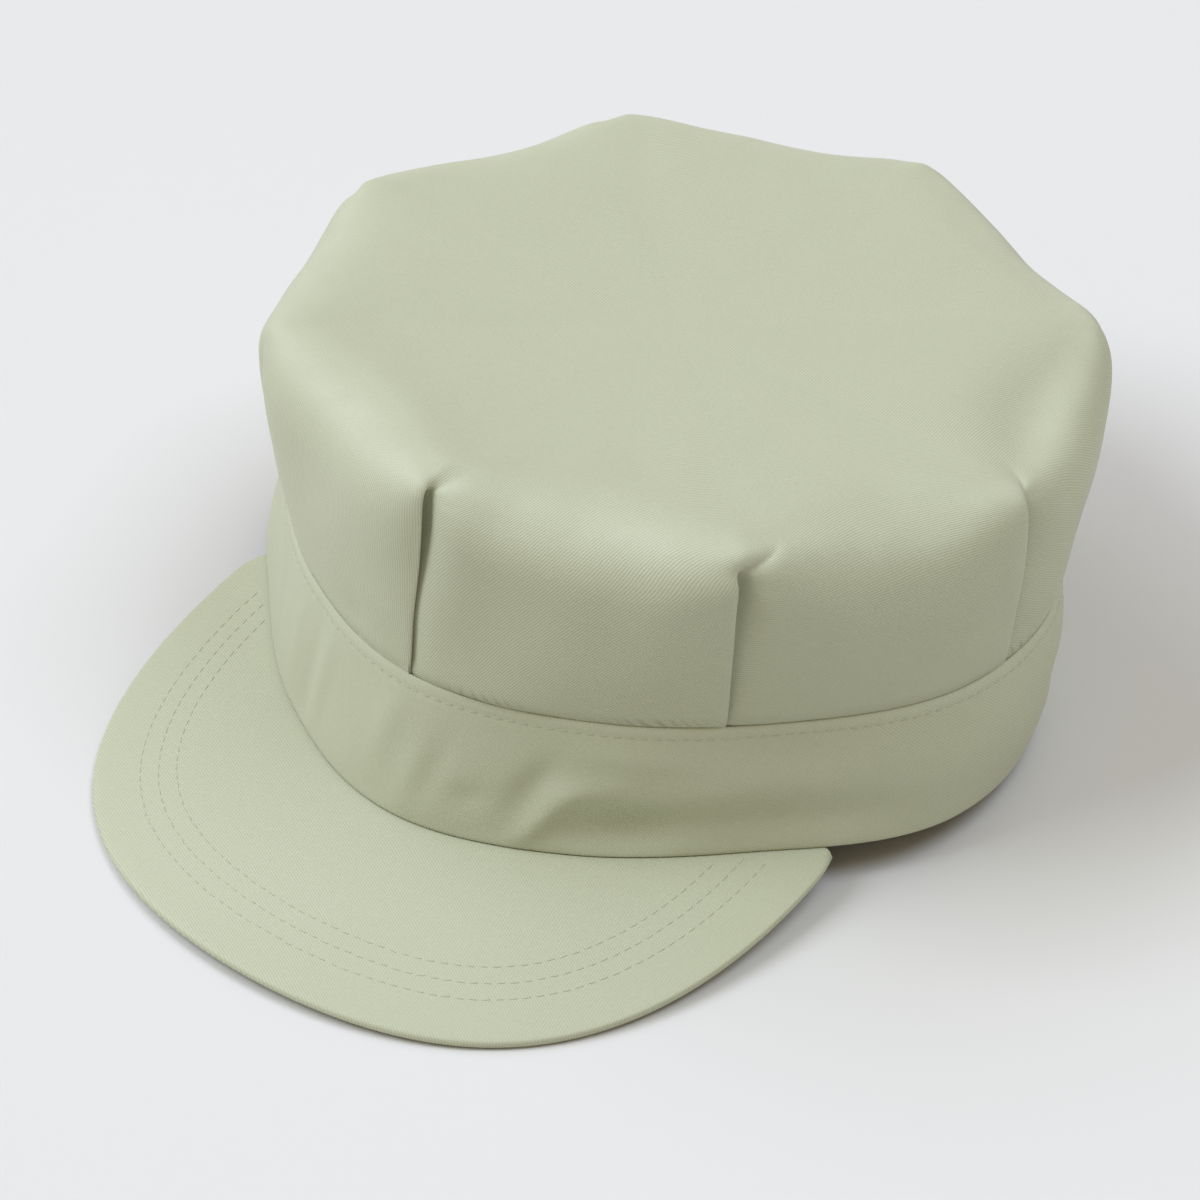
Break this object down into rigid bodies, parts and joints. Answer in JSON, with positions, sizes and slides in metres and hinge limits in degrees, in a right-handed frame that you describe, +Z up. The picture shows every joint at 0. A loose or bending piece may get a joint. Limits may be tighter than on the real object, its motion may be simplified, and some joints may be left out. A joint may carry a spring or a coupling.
{
  "type": "eight panel work cap",
  "caption": "Soft cloth work cap with an octagonal pleated crown, a plain band and a stiff curved peak, resting on a surface.",
  "frame": {"origin": "on the surface that the cap rests on, under the middle of its box", "axes": "+Z up from the surface, -Y towards the front of the peak, +X to the wearer's left"},
  "size_m": [0.2101, 0.2738, 0.1029],
  "materials": {
    "crown_twill": "moss green cotton twill, soft and matt, fine diagonal ribs",
    "band_twill": "moss green cotton twill, doubled and topstitched, soft creases",
    "peak_twill": "moss green cotton twill over a board, three rows of stitching round the rim",
    "thread": "moss green sewing thread, slightly shiny"
  },
  "bodies": {
    "root": {"crown": "crown_twill", "band": "band_twill", "peak": "peak_twill"}
  },
  "joints": []
}
